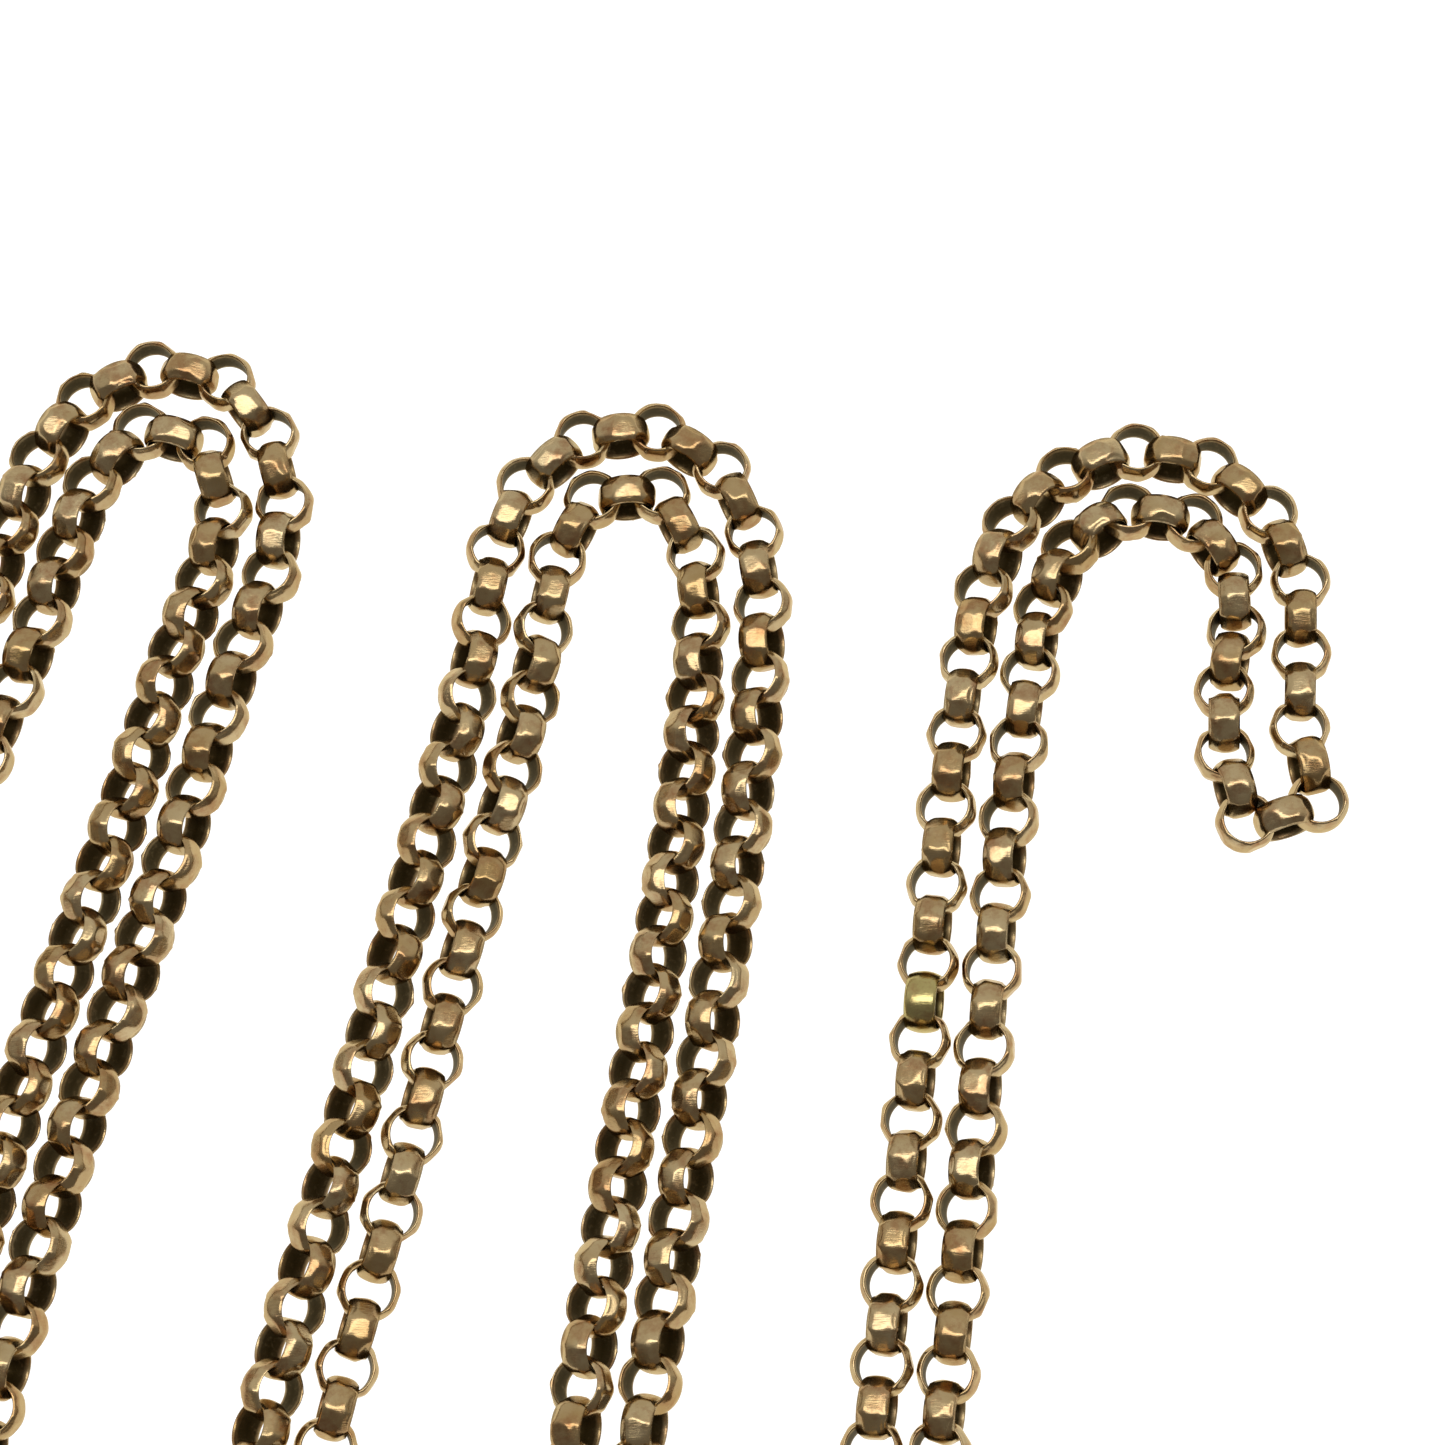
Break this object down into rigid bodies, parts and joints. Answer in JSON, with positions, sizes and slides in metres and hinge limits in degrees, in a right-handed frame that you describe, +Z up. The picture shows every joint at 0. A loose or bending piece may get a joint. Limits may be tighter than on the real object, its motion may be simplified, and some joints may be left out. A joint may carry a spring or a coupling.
{
  "type": "pocket watch chain",
  "caption": "Long faceted belcher-link watch chain in old gold, doubled and laid in a serpentine, with a ring and swivel clasp.",
  "frame": {"origin": "middle of the whole chain's box, on the surface it lies on", "axes": "+Z up from the surface, +Y along the long legs towards the upper hairpins, +X towards the fold"},
  "size_m": [0.102, 0.0934, 0.0042],
  "materials": {
    "link_gold": "worn polished old gold with dark hollows",
    "clasp_gold": "worn polished old gold",
    "spring_steel": "dull"
  },
  "bodies": {
    "fold": {"fold_links": "link_gold"},
    "right_01": {"right_01a": "link_gold"},
    "left_01": {"left_01a": "link_gold"},
    "right_02": {"right_02a": "link_gold"},
    "left_02": {"left_02a": "link_gold"},
    "right_03": {"right_03a": "link_gold"},
    "left_03": {"left_03a": "link_gold"},
    "right_04": {"right_04a": "link_gold"},
    "left_04": {"left_04a": "link_gold"},
    "right_05": {"right_05a": "link_gold"},
    "left_05": {"left_05a": "link_gold"},
    "right_06": {"right_06a": "link_gold"},
    "left_06": {"left_06a": "link_gold"},
    "right_07": {"right_07a": "link_gold", "right_07b": "link_gold", "right_07c": "link_gold"},
    "left_07": {"left_07a": "link_gold", "left_07b": "link_gold", "left_07c": "link_gold"},
    "right_08": {"right_08a": "link_gold", "right_08b": "link_gold", "right_08c": "link_gold", "right_08d": "link_gold"},
    "left_08": {"left_08a": "link_gold", "left_08b": "link_gold", "left_08c": "link_gold", "left_08d": "link_gold"},
    "right_09": {"right_09a": "link_gold"},
    "left_09": {"left_09a": "link_gold"},
    "right_10": {"right_10a": "link_gold", "right_10b": "link_gold", "right_10c": "link_gold"},
    "left_10": {"left_10a": "link_gold", "left_10b": "link_gold", "left_10c": "link_gold"},
    "right_11": {"right_11a": "link_gold", "right_11b": "link_gold"},
    "left_11": {"left_11a": "link_gold", "left_11b": "link_gold"},
    "right_12": {"right_12a": "link_gold"},
    "left_12": {"left_12a": "link_gold"},
    "ring": {"clasp_ring": "clasp_gold"},
    "eye": {"swivel_eye": "clasp_gold"},
    "clasp": {"clasp_body": "clasp_gold", "gate_rivet": "clasp_gold", "gate_spring": "spring_steel"},
    "gate": {"clasp_gate": "clasp_gold"}
  },
  "joints": [
    {"name": "strand_fold_01_right", "type": "hinge", "parent": "fold", "child": "right_01", "pos_m": [0.04592, 0.0158, 0.002], "axis": [0.9623, 0.2718, 0], "range_deg": [-40, 40]},
    {"name": "strand_fold_01_left", "type": "hinge", "parent": "fold", "child": "left_01", "pos_m": [0.04592, 0.0158, 0.002], "axis": [0.9623, 0.2718, 0], "range_deg": [-40, 40]},
    {"name": "strand_fold_02_right", "type": "hinge", "parent": "right_01", "child": "right_02", "pos_m": [0.04025, 0.03651, 0.002], "axis": [0.2212, 0.9752, 0], "range_deg": [-40, 40]},
    {"name": "strand_fold_02_left", "type": "hinge", "parent": "left_01", "child": "left_02", "pos_m": [0.04025, 0.03651, 0.002], "axis": [0.2212, 0.9752, 0], "range_deg": [-40, 40]},
    {"name": "strand_fold_03_right", "type": "hinge", "parent": "right_02", "child": "right_03", "pos_m": [0.02799, 0.02085, 0.002], "axis": [0.9842, -0.1772, 0], "range_deg": [-40, 40]},
    {"name": "strand_fold_03_left", "type": "hinge", "parent": "left_02", "child": "left_03", "pos_m": [0.02799, 0.02085, 0.002], "axis": [0.9842, -0.1772, 0], "range_deg": [-40, 40]},
    {"name": "strand_fold_04_right", "type": "hinge", "parent": "right_03", "child": "right_04", "pos_m": [0.02508, 0.00046, 0.002], "axis": [-0.9924, 0.1229, 0], "range_deg": [-40, 40]},
    {"name": "strand_fold_04_left", "type": "hinge", "parent": "left_03", "child": "left_04", "pos_m": [0.02508, 0.00046, 0.002], "axis": [-0.9924, 0.1229, 0], "range_deg": [-40, 40]},
    {"name": "strand_fold_05_right", "type": "hinge", "parent": "right_04", "child": "right_05", "pos_m": [0.02238, -0.02006, 0.002], "axis": [0.9906, -0.1368, 0], "range_deg": [-40, 40]},
    {"name": "strand_fold_05_left", "type": "hinge", "parent": "left_04", "child": "left_05", "pos_m": [0.02238, -0.02006, 0.002], "axis": [0.9906, -0.1368, 0], "range_deg": [-40, 40]},
    {"name": "strand_fold_06_right", "type": "hinge", "parent": "right_05", "child": "right_06", "pos_m": [0.01549, -0.0408, 0.002], "axis": [-0.5359, 0.8443, 0], "range_deg": [-40, 40]},
    {"name": "strand_fold_06_left", "type": "hinge", "parent": "left_05", "child": "left_06", "pos_m": [0.01549, -0.0408, 0.002], "axis": [-0.5359, 0.8443, 0], "range_deg": [-40, 40]},
    {"name": "strand_fold_07_right", "type": "hinge", "parent": "right_06", "child": "right_07", "pos_m": [0.00278, -0.03124, 0.002], "axis": [0.9999, 0.0159, 0], "range_deg": [-40, 40]},
    {"name": "strand_fold_07_left", "type": "hinge", "parent": "left_06", "child": "left_07", "pos_m": [0.00278, -0.03124, 0.002], "axis": [0.9999, 0.0159, 0], "range_deg": [-40, 40]},
    {"name": "strand_fold_08_right", "type": "hinge", "parent": "right_07", "child": "right_08", "pos_m": [0.00344, 0.03828, 0.002], "axis": [-0.1039, 0.9946, 0], "range_deg": [-40, 40]},
    {"name": "strand_fold_08_left", "type": "hinge", "parent": "left_07", "child": "left_08", "pos_m": [0.00344, 0.03828, 0.002], "axis": [-0.1039, 0.9946, 0], "range_deg": [-40, 40]},
    {"name": "strand_fold_09_right", "type": "hinge", "parent": "right_08", "child": "right_09", "pos_m": [-0.03057, -0.04237, 0.002], "axis": [0.3029, 0.953, 0], "range_deg": [-40, 40]},
    {"name": "strand_fold_09_left", "type": "hinge", "parent": "left_08", "child": "left_09", "pos_m": [-0.03057, -0.04237, 0.002], "axis": [0.3029, 0.953, 0], "range_deg": [-40, 40]},
    {"name": "strand_fold_10_right", "type": "hinge", "parent": "right_09", "child": "right_10", "pos_m": [-0.03731, -0.02741, 0.002], "axis": [0.9938, -0.111, 0], "range_deg": [-40, 40]},
    {"name": "strand_fold_10_left", "type": "hinge", "parent": "left_09", "child": "left_10", "pos_m": [-0.03731, -0.02741, 0.002], "axis": [0.9938, -0.111, 0], "range_deg": [-40, 40]},
    {"name": "strand_fold_11_right", "type": "hinge", "parent": "right_10", "child": "right_11", "pos_m": [-0.02643, 0.0428, 0.002], "axis": [-0.1709, -0.9853, 0], "range_deg": [-40, 40]},
    {"name": "strand_fold_11_left", "type": "hinge", "parent": "left_10", "child": "left_11", "pos_m": [-0.02643, 0.0428, 0.002], "axis": [-0.1709, -0.9853, 0], "range_deg": [-40, 40]},
    {"name": "strand_fold_12_right", "type": "hinge", "parent": "right_11", "child": "right_12", "pos_m": [-0.04116, 0.01536, 0.002], "axis": [0.9419, -0.336, 0], "range_deg": [-40, 40]},
    {"name": "strand_fold_12_left", "type": "hinge", "parent": "left_11", "child": "left_12", "pos_m": [-0.04116, 0.01536, 0.002], "axis": [0.9419, -0.336, 0], "range_deg": [-40, 40]},
    {"name": "clasp_ring_hinge", "type": "hinge", "parent": "right_12", "child": "ring", "pos_m": [-0.04587, -0.00475, 0.00175], "axis": [-0.9947, 0.1027, 0], "range_deg": [-30, 30]},
    {"name": "clasp_eye_hinge", "type": "hinge", "parent": "ring", "child": "eye", "pos_m": [-0.0462, -0.01145, 0.00175], "axis": [-1, 0, 0], "range_deg": [-30, 30]},
    {"name": "clasp_swivel", "type": "hinge", "parent": "eye", "child": "clasp", "pos_m": [-0.0462, -0.0144, 0.0021], "axis": [0, -1, 0], "continuous": true},
    {"name": "clasp_gate_hinge", "type": "hinge", "parent": "clasp", "child": "gate", "pos_m": [-0.04895, -0.0191, 0.0021], "axis": [0, 0, 1], "range_deg": [0, 26], "stiffness_Nm_per_rad": 0.002, "springref_deg": -17.19}
  ],
  "couplings": [
    {"joint": "strand_fold_01_left", "follows": "strand_fold_01_right", "ratio": 1},
    {"joint": "strand_fold_02_left", "follows": "strand_fold_02_right", "ratio": 1},
    {"joint": "strand_fold_03_left", "follows": "strand_fold_03_right", "ratio": 1},
    {"joint": "strand_fold_04_left", "follows": "strand_fold_04_right", "ratio": 1},
    {"joint": "strand_fold_05_left", "follows": "strand_fold_05_right", "ratio": 1},
    {"joint": "strand_fold_06_left", "follows": "strand_fold_06_right", "ratio": 1},
    {"joint": "strand_fold_07_left", "follows": "strand_fold_07_right", "ratio": 1},
    {"joint": "strand_fold_08_left", "follows": "strand_fold_08_right", "ratio": 1},
    {"joint": "strand_fold_09_left", "follows": "strand_fold_09_right", "ratio": 1},
    {"joint": "strand_fold_10_left", "follows": "strand_fold_10_right", "ratio": 1},
    {"joint": "strand_fold_11_left", "follows": "strand_fold_11_right", "ratio": 1},
    {"joint": "strand_fold_12_left", "follows": "strand_fold_12_right", "ratio": 1}
  ]
}
